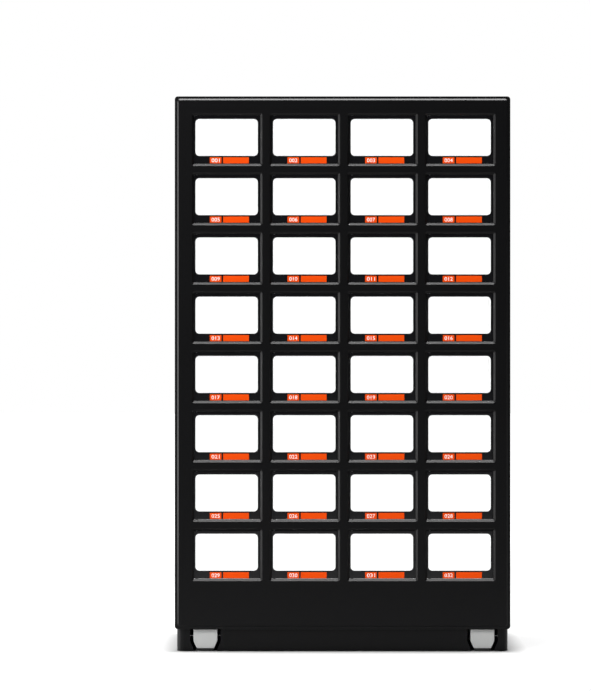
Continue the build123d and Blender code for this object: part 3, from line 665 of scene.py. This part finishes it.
pane = flat_blank(
    "door_pane",
    WINDOW_WIDTH + 2 * PANE_MARGIN,
    WINDOW_HEIGHT + 2 * PANE_MARGIN,
    WINDOW_RADIUS + PANE_MARGIN,
    WINDOW_MIDDLE_X,
    WINDOW_MIDDLE_Z,
    pane_front,
    DOOR_REAR,
    acrylic,
)
number_plate = orange_plate("number_plate", NUMBER_PLATE_WIDTH, NUMBER_PLATE_X)
price_plate = orange_plate("price_plate", PRICE_PLATE_WIDTH, PRICE_PLATE_X)

# %% [markdown]
# ## The door's metal
# A strike stands on the rear of the leaf, on the lock side: a folded bracket whose tongue reaches into
# the lock and has a square eye for the hook. Two screws hold it. On the other side two pins carry the door
# in black nylon bushes. The bracket is an L of plate; the eye is cut by bridging two outlines.

# %% Fold the strike
STRIKE_X = 103.3 * MM
STRIKE_Z = -67.55 * MM
STRIKE_SHEET = 2 * MM
STRIKE_HEIGHT = 16 * MM
STRIKE_FOOT = 17 * MM
STRIKE_RADIUS = 0.8 * MM
TONGUE_REACH = 24 * MM
TONGUE_END = DOOR_REAR + TONGUE_REACH
EYE = 7 * MM
FACING_SIDE = (0, math.radians(90), 0)
strike = start_piece("door_strike")


def add_side_outline(depth, height, middle, number):
    """In edit mode, the outline of a round-cornered rectangle that faces sideways."""
    bpy.ops.mesh.select_all(action="DESELECT")
    bpy.ops.mesh.primitive_plane_add(size=1, location=middle, rotation=FACING_SIDE)
    bpy.ops.transform.resize(value=(1, depth, height), center_override=middle)
    bpy.ops.mesh.bevel(offset=STRIKE_RADIUS, segments=CORNER_STEPS, profile=0.5, affect="VERTICES")
    number_outline(number)
    bpy.ops.mesh.delete(type="ONLY_FACE")


tongue_middle = (0, (DOOR_REAR + TONGUE_END) / 2, STRIKE_Z)
eye_middle = (0, TONGUE_END - EYE, STRIKE_Z)
tongue_steps = [
    (STRIKE_X, TONGUE_END - DOOR_REAR, STRIKE_HEIGHT, tongue_middle),
    (STRIKE_X, EYE, EYE, eye_middle),
    (STRIKE_X + STRIKE_SHEET, EYE, EYE, eye_middle),
    (STRIKE_X + STRIKE_SHEET, TONGUE_END - DOOR_REAR, STRIKE_HEIGHT, tongue_middle),
]
for i, (x, depth, height, middle) in enumerate(tongue_steps):
    add_side_outline(depth, height, (x, middle[1], middle[2]), i)
bridge_in_turn(strike, range(len(tongue_steps)), closed=True, along=(1, 0, 0))
foot_x = STRIKE_X + STRIKE_SHEET - STRIKE_FOOT / 2
add_outline(STRIKE_FOOT, STRIKE_HEIGHT, STRIKE_RADIUS, (foot_x, DOOR_REAR, STRIKE_Z), keep_face=True)
bpy.ops.mesh.extrude_region_move(TRANSFORM_OT_translate={"value": (0, STRIKE_SHEET, 0)})
finish_piece(strike, zinc)
print("strike:", len(strike.data.polygons), "faces")

# %% [markdown]
# A screw head is a short cylinder whose rims are rounded by a bevel. A pin is a longer one with the same
# rims, only finer. Both come from one function, because only their sizes differ.

# %% Turn the screws and pins


def turned(name, radius, length, middle, along, chamfer, sides=24):
    """A new cylinder along Y or Z with chamfered rims, left in edit mode."""
    piece = start_piece(name)
    turn = {"Y": FACING_FRONT, "Z": FACING_UP}[along]
    bpy.ops.mesh.primitive_cylinder_add(
        vertices=sides, radius=radius, depth=length, location=middle, rotation=turn
    )
    axis = "XYZ".index(along)
    mesh = bmesh.from_edit_mesh(piece.data)
    bpy.ops.mesh.select_mode(type="EDGE")
    bpy.ops.mesh.select_all(action="DESELECT")
    for edge in mesh.edges:
        a, b = (v.co[axis] for v in edge.verts)
        edge.select_set(abs(a - b) < length / 4)
    bmesh.update_edit_mesh(piece.data)
    bpy.ops.mesh.bevel(offset=chamfer, segments=2, profile=0.5, affect="EDGES")
    return piece


def join_pieces(name, pieces):
    """Joins finished pieces into the first, which keeps its material."""
    bpy.ops.object.select_all(action="DESELECT")
    for piece in pieces:
        piece.select_set(True)
    bpy.context.view_layer.objects.active = pieces[0]
    bpy.ops.object.join()
    pieces[0].name = pieces[0].data.name = name
    return pieces[0]


HEAD_RADIUS = 2.8 * MM
HEAD_HEIGHT = 1.5 * MM
HEAD_ROUND = 0.5 * MM
# A head is sunk 0.1 mm into the strike, so its middle is a little under half its height above it.
HEAD_MIDDLE = 0.65 * MM
HEAD_TO_SIDE = 0.2 * MM
HALF_PITCH = 4 * MM
screw_heads = []
for side in (-1, 1):
    head_middle = (
        foot_x - HEAD_TO_SIDE,
        DOOR_REAR + STRIKE_SHEET + HEAD_MIDDLE,
        STRIKE_Z + side * HALF_PITCH,
    )
    head = turned(f"screw_head_{side}", HEAD_RADIUS, HEAD_HEIGHT, head_middle, "Y", HEAD_ROUND)
    screw_heads.append(finish_piece(head, zinc))
strike_screws = join_pieces("strike_screws", screw_heads)
PIN_X = -101.3 * MM
PIN_Y = (DOOR_FRONT + DOOR_REAR) / 2
PIN_LENGTH = 12.7 * MM
PIN_RADIUS = 2 * MM
PIN_CHAMFER = 0.4 * MM
PIN_IN_DOOR = 6 * MM
pins = []
for side in (-1, 1):
    pin_z = side * (DOOR_HEIGHT / 2 - PIN_IN_DOOR + PIN_LENGTH / 2)
    pin = turned(f"pin_{side}", PIN_RADIUS, PIN_LENGTH, (PIN_X, PIN_Y, pin_z), "Z", PIN_CHAMFER)
    pins.append(finish_piece(pin, zinc))
hinge_pins = join_pieces("hinge_pins", pins)
print("pins reach z", round(max(v.co.z for v in hinge_pins.data.vertices) / MM, 2), "mm")

# %% [markdown]
# ## Hang the doors
# Every door piece is modelled once. Each copy has its own mesh, moved to the middle of its opening, and
# rides on that door's body. The hidden CAD door stays for the collisions.

# %% Copy the door pieces to the 32 openings
DOOR_MODELS = [leaf, pane, number_plate, price_plate, strike, strike_screws, hinge_pins]


def copy_to_opening(model, number):
    """A copy with its own mesh, moved to the middle of this door's opening."""
    copy = model.copy()
    copy.data = model.data.copy()
    copy.name = copy.data.name = f"{model.name}_{number}"
    copy.data.transform(Matrix.Translation(middles[number]))
    bpy.context.scene.collection.objects.link(copy)
    return copy


def hang(model, number):
    """Copies a door piece to its opening and lets it ride on that door."""
    copy = copy_to_opening(model, number)
    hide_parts(f"door_{number}")
    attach(copy, f"door_{number}")


for number in DOOR_NAMES:
    for model in DOOR_MODELS:
        hang(model, number)
for model in DOOR_MODELS:
    bpy.data.objects.remove(model)

# %% [markdown]
# ## The numbers
# Each plate carries a plain running number, 001 to 032, counted from the top left: three white digits
# 12.5 mm high, printed on the vinyl. A text object gives them: it is turned into a mesh, scaled to the
# plate, given the thickness of the ink and laid on the plate's face.

# %% Print the numbers
DIGITS_WIDTH = 27 * MM
DIGITS_HEIGHT = 12.5 * MM
INK = 0.1 * MM
CURVE_STEPS = 3
printed = {}
for row in reversed(ROWS):
    for column in COLUMNS:
        printed[f"{row}0{column}"] = f"{len(printed) + 1:03d}"


def print_number(number):
    """The digits of one plate, as a thin solid on its face."""
    bpy.ops.object.select_all(action="DESELECT")
    bpy.ops.object.text_add()
    text = bpy.context.object
    text.data.body = printed[number]
    text.data.resolution_u = CURVE_STEPS
    bpy.ops.object.convert(target="MESH")
    digits = bpy.context.object
    digits.name = digits.data.name = f"number_{number}"
    xs = [v.co.x for v in digits.data.vertices]
    ys = [v.co.y for v in digits.data.vertices]
    centre = Vector(((min(xs) + max(xs)) / 2, (min(ys) + max(ys)) / 2, 0))
    growth = (DIGITS_WIDTH / (max(xs) - min(xs)), DIGITS_HEIGHT / (max(ys) - min(ys)), 1)
    bpy.ops.object.mode_set(mode="EDIT")
    bpy.ops.mesh.select_all(action="SELECT")
    bpy.ops.transform.translate(value=-centre)
    bpy.ops.transform.resize(value=growth, center_override=(0, 0, 0))
    bpy.ops.mesh.extrude_region_move(TRANSFORM_OT_translate={"value": (0, 0, INK)})
    bpy.ops.object.mode_set(mode="OBJECT")
    digits.rotation_euler = FACING_FRONT
    digits.location = middles[number] + Vector((NUMBER_PLATE_X, PLATE_FRONT, PLATE_Z))
    bpy.ops.object.transform_apply(location=True, rotation=True, scale=True)
    bpy.ops.object.mode_set(mode="EDIT")
    return finish_piece(digits, white_print)


for number in DOOR_NAMES:
    digits = print_number(number)
    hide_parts(f"door_{number}")
    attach(digits, f"door_{number}")
print("numbers", min(printed.values()), "to", max(printed.values()))

# %% [markdown]
# ## The stop seals
# Behind each door's edge runs a thin black rubber strip, fixed all round the inside of the opening. The
# closed door covers it, and it keeps the lamp's light from showing through the gap round the door. It
# sits deep enough for the hinge side of the door to swing past it. One ring is made from four outlines
# bridged in a circle, and the 32 rings are joined into one piece.

# %% Lay a seal ring in every opening
SEAL_FRONT = FRONT_Y + 21.6 * MM
SEAL_REAR = FRONT_Y + 25.6 * MM
SEAL_OUTER = (223.8 * MM, 162.8 * MM, 1 * MM)
SEAL_INNER = (216 * MM, 156.6 * MM, 1.5 * MM)
SEAL_RAISE = 0.75 * MM
seal = start_piece("door_seal")
seal_steps = [
    (SEAL_OUTER, SEAL_FRONT),
    (SEAL_INNER, SEAL_FRONT),
    (SEAL_INNER, SEAL_REAR),
    (SEAL_OUTER, SEAL_REAR),
]
for i, (size, y) in enumerate(seal_steps):
    add_outline(*size, (0, y, SEAL_RAISE if size == SEAL_OUTER else 0), number=i)
bridge_in_turn(seal, range(len(seal_steps)), closed=True)
finish_piece(seal, black_rubber)
seals = [copy_to_opening(seal, number) for number in DOOR_NAMES]
bpy.data.objects.remove(seal)
door_seals = join_pieces("door_seals", seals)
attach(door_seals, "cabinet")
print("seals:", len(door_seals.data.polygons), "faces")

# %% [markdown]
# ## The levelling feet
# A foot is a light grey casting that shows through a notch in the plinth. It stands on a rubber pad and
# hangs from a threaded spindle with a lock nut. The shoe is made from outlines one above another, narrow
# at the bottom and full width a little below the middle, with the rims rounded. The last two outlines
# are a well in its top. It is closed at the bottom before the well is added, while the lowest outline
# is the only one at its height.

# %% Cast the shoes
FOOT_NAMES = [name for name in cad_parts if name.startswith("foot_") and name != "foot_sockets"]
SHOE_WIDTH = 80 * MM
SHOE_DEPTH = 58 * MM
SHOE_FOOT_WIDTH = 59 * MM
PAD_HEIGHT = 9.5 * MM
SHOE_TAPER_TOP = 34 * MM
SHOE_TOP = 72.5 * MM
WELL_FLOOR = 64 * MM
WELL_RADIUS = 14 * MM
WELL_ROUNDNESS = 0.95
UPWARDS = (0, 0, 1)
# Each outline is given by its width, depth, corner radius and height.
SHOE_STEPS = [
    (SHOE_FOOT_WIDTH - 3 * MM, SHOE_DEPTH - 3 * MM, 1.5 * MM, PAD_HEIGHT),
    (SHOE_FOOT_WIDTH, SHOE_DEPTH, 3 * MM, PAD_HEIGHT + 1.5 * MM),
    (SHOE_WIDTH - 1 * MM, SHOE_DEPTH, 3 * MM, SHOE_TAPER_TOP - 1 * MM),
    (SHOE_WIDTH, SHOE_DEPTH, 3 * MM, SHOE_TAPER_TOP + 1.5 * MM),
    (SHOE_WIDTH, SHOE_DEPTH, 3 * MM, SHOE_TOP - 2 * MM),
    (SHOE_WIDTH - 1.2 * MM, SHOE_DEPTH - 1.2 * MM, 2.4 * MM, SHOE_TOP - 0.6 * MM),
    (SHOE_WIDTH - 4 * MM, SHOE_DEPTH - 4 * MM, 1 * MM, SHOE_TOP),
    (2 * WELL_RADIUS, 2 * WELL_RADIUS, WELL_RADIUS * WELL_ROUNDNESS, SHOE_TOP),
    (2 * WELL_RADIUS, 2 * WELL_RADIUS, WELL_RADIUS * WELL_ROUNDNESS, WELL_FLOOR),
]
RIM_STEP = 6


def cast_shoe(side, x, y):
    """A shoe at this place, with a round well in its top."""
    shoe = start_piece(f"foot_shoe_{side}")
    for i, (width, depth, radius, z) in enumerate(SHOE_STEPS[: RIM_STEP + 1]):
        add_outline(width, depth, radius, (x, y, z), FACING_UP, number=i)
    bridge_in_turn(shoe, range(RIM_STEP + 1), along=UPWARDS)
    pick(shoe, lambda v: abs(v.co.z - PAD_HEIGHT) < SAME_PLACE, "EDGE")
    bpy.ops.mesh.edge_face_add()
    for i, (width, depth, radius, z) in enumerate(SHOE_STEPS[RIM_STEP + 1 :], start=RIM_STEP + 1):
        add_outline(width, depth, radius, (x, y, z), FACING_UP, number=i)
    bridge_in_turn(shoe, range(RIM_STEP, len(SHOE_STEPS)), along=UPWARDS)
    pick_outlines(shoe, len(SHOE_STEPS) - 1)
    bpy.ops.mesh.edge_face_add()
    finish_piece(shoe, foot_enamel)
    keep_flats_flat(shoe)
    return shoe


print("a shoe from", len(SHOE_STEPS), "outlines")

# %% [markdown]
# The pad is a rubber moulding with a groove round it, and the spindle stands in the shoe's well with its
# lock nut. Its thread is hidden inside the plinth and finer than a pixel, so the spindle is left plain.

# %% Add the pads, spindles and nuts
SPINDLE_RADIUS = 6 * MM
SPINDLE_CHAMFER = 1 * MM
NUT_RADIUS = 10.9 * MM
NUT_CHAMFER = 0.6 * MM
NUT_HEIGHT = 8 * MM
PAD_INSET = 4 * MM
PAD_RADIUS = 3 * MM
# Each outline of the pad spreads out by the first value, at the height of the second, in millimetres.
PAD_STEPS = [(-1.5, 0), (0, 1.5), (0, 3.5), (-1.2, 4.5), (0, 5.5), (0, 9.5)]


def mould_pad(side, x, y):
    """The rubber pad under one shoe."""
    pad = start_piece(f"foot_pad_{side}")
    for i, (spread, z) in enumerate(PAD_STEPS):
        add_outline(
            SHOE_FOOT_WIDTH - PAD_INSET + 2 * spread * MM,
            SHOE_DEPTH - PAD_INSET + 2 * spread * MM,
            PAD_RADIUS,
            (x, y, z * MM),
            FACING_UP,
            number=i,
        )
    bridge_in_turn(pad, range(len(PAD_STEPS)), along=UPWARDS)
    for end_z in (0, PAD_HEIGHT):
        pick(pad, lambda v, end=end_z: abs(v.co.z - end) < SAME_PLACE, "EDGE")
        bpy.ops.mesh.edge_face_add()
    return finish_piece(pad, black_rubber)


def turn_screw(side, x, y, top):
    """The spindle from the well's floor to its top, with its lock nut."""
    length = top - WELL_FLOOR
    spindle_middle = (x, y, WELL_FLOOR + length / 2)
    spindle = turned("spindle", SPINDLE_RADIUS, length, spindle_middle, "Z", SPINDLE_CHAMFER)
    finish_piece(spindle, zinc)
    nut_middle = (x, y, WELL_FLOOR + NUT_HEIGHT / 2)
    nut = turned("nut", NUT_RADIUS, NUT_HEIGHT, nut_middle, "Z", NUT_CHAMFER, sides=6)
    finish_piece(nut, zinc)
    return join_pieces(f"foot_screw_{side}", [spindle, nut])


for name in FOOT_NAMES:
    low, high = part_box(name)
    x, y = (low.x + high.x) / 2, (low.y + high.y) / 2
    side = name.replace("foot_", "")
    for piece in (cast_shoe(side, x, y), mould_pad(side, x, y), turn_screw(side, x, y, high.z)):
        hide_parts(name)
        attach(piece, name)
print("feet:", FOOT_NAMES)

# %% [markdown]
# ## The studio
# The picture has no floor line and no colour of its own: a pale floor runs into a pale wall. The room is
# white behind the cabinet and on its left, and dim in front and on its right, because black paint shows
# the room it faces. Three soft boxes light the cabinet. The one overhead is mirrored by every bevel that
# faces up, and draws the bright line under each door. The strip on the left does the same for the
# upright bevels. The key light, from high on the left in front, lights the orange plates and the feet.
# They are strong, so the floor's paint is darker than it looks. A glow keeps the far floor as pale as the
# wall. It starts beside the cabinet, because light from under it would show through the notches for the
# feet, and it is weak in the lane in front, which the doors would mirror.

# %% Lay the floor
FLOOR_SIZE = 60
# In front the glow drops to LANE_GLOW, from LANE_END to LANE_START along Y, except far out at the sides.
LANE_START = -1.2
LANE_END = -0.2
LANE_GLOW = 0.15
LANE_SIDE = 2.0
LANE_SIDE_END = 7.0
# The cabinet is wider than deep. With this taken off, its sides lie at 0.25 m as its front does.
CABINET_INSET = 0.305
GLOW_START = 0.25
NEAR_GLOW_FULL = 0.32
NEAR_GLOW = 0.5
FAR_GLOW_FULL = 5.0
bpy.ops.object.select_all(action="DESELECT")
bpy.ops.mesh.primitive_plane_add(size=FLOOR_SIZE, location=(0, 0, 0))
floor = bpy.context.object
floor.name = floor.data.name = "studio_floor"
bpy.ops.object.mode_set(mode="EDIT")
bpy.ops.mesh.subdivide(number_cuts=3)
bpy.ops.object.mode_set(mode="OBJECT")
floor_finish = coated("pale_floor_paint", "858585", "818181", 0.7, 12 * MM, 0.02 * MM)
floor_tree = floor_finish.node_tree
floor_shader = floor_tree.nodes["Principled BSDF"]
floor_shader.inputs["Emission Color"].default_value = linear("ffffff")
floor_place = add_node(floor_tree, "ShaderNodeTexCoord", {}).outputs["Object"]
away = add_node(floor_tree, "ShaderNodeSeparateXYZ", {}, {"Vector": floor_place}).outputs["Y"]
behind = add_node(
    floor_tree,
    "ShaderNodeMapRange",
    {"From Min": LANE_START, "From Max": LANE_END, "To Min": LANE_GLOW},
    {"Value": away},
)
mirrored = add_node(
    floor_tree, "ShaderNodeVectorMath", {"operation": "ABSOLUTE"}, {0: floor_place}
).outputs["Vector"]
sides = add_node(floor_tree, "ShaderNodeSeparateXYZ", {}, {"Vector": mirrored})
aside = add_node(
    floor_tree,
    "ShaderNodeMapRange",
    {"From Min": LANE_SIDE, "From Max": LANE_SIDE_END},
    {"Value": sides.outputs["X"]},
)
open_floor = add_node(
    floor_tree,
    "ShaderNodeMath",
    {"operation": "MAXIMUM"},
    {0: behind.outputs["Result"], 1: aside.outputs["Result"]},
)
inset = add_node(
    floor_tree, "ShaderNodeMath", {"operation": "SUBTRACT", 1: CABINET_INSET}, {0: sides.outputs["X"]}
)
outside = add_node(
    floor_tree,
    "ShaderNodeMath",
    {"operation": "MAXIMUM"},
    {0: inset.outputs["Value"], 1: sides.outputs["Y"]},
).outputs["Value"]
beside = add_node(
    floor_tree,
    "ShaderNodeMapRange",
    {"From Min": GLOW_START, "From Max": NEAR_GLOW_FULL, "To Max": NEAR_GLOW},
    {"Value": outside},
)
beyond = add_node(
    floor_tree, "ShaderNodeMapRange", {"From Min": GLOW_START, "From Max": FAR_GLOW_FULL}, {"Value": outside}
)
around = add_node(
    floor_tree,
    "ShaderNodeMath",
    {"operation": "MAXIMUM"},
    {0: beside.outputs["Result"], 1: beyond.outputs["Result"]},
)
glow = add_node(
    floor_tree,
    "ShaderNodeMath",
    {"operation": "MULTIPLY"},
    {0: open_floor.outputs["Value"], 1: around.outputs["Value"]},
)
floor_tree.links.new(glow.outputs["Value"], floor_shader.inputs["Emission Strength"])
floor.data.materials.append(floor_finish)
print("floor:", FLOOR_SIZE, "m, dim from y", LANE_START, "to", LANE_END)

# %% [markdown]
# The walls are the world's own light. It is bright where its direction points to the rear or to the left,
# and dim in front and on the right. The change is soft, so that the wall has no hard edge.

# %% Light the walls and hang the boxes
BRIGHT_SIDE = (-0.3, 0.95, 0)
WALL_FULL = 0.28
DIM_ROOM = 0.05
world = bpy.data.worlds.new("studio")
world.use_nodes = True
world_tree = world.node_tree
background = world_tree.nodes["Background"]
background.inputs["Color"].default_value = linear("ffffff")
direction = add_node(world_tree, "ShaderNodeTexCoord", {}).outputs["Generated"]
towards_wall = add_node(
    world_tree, "ShaderNodeVectorMath", {"operation": "DOT_PRODUCT", 1: BRIGHT_SIDE}, {0: direction}
)
wall_light = add_node(
    world_tree,
    "ShaderNodeMapRange",
    {"From Min": 0.0, "From Max": WALL_FULL, "To Min": DIM_ROOM, "To Max": 1.0},
    {"Value": towards_wall.outputs["Value"]},
)
world_tree.links.new(wall_light.outputs["Result"], background.inputs["Strength"])
bpy.context.scene.world = world


def hang_light(name, place, aim, width, height, watts):
    """A soft box of this size in metres, turned from its place towards its aim."""
    data = bpy.data.lights.new(name, "AREA")
    data.shape = "RECTANGLE"
    data.size = width
    data.size_y = height
    data.energy = watts
    light = bpy.data.objects.new(name, data)
    light.location = place
    light.rotation_euler = (Vector(aim) - Vector(place)).to_track_quat("-Z", "Y").to_euler()
    bpy.context.scene.collection.objects.link(light)


hang_light("overhead_box", (0, -0.35, 6.4), (0, -0.35, 0), 6.4, 2.2, 1450)
hang_light("left_strip", (-2.6, -0.3, 1.1), (0, -0.3, 1.1), 1.2, 2.2, 75)
hang_light("key_box", (-4.0, -6.25, 5.2), (0, -0.25, 0.9), 2.4, 2.4, 530)
bpy.context.scene.view_settings.view_transform = "Standard"
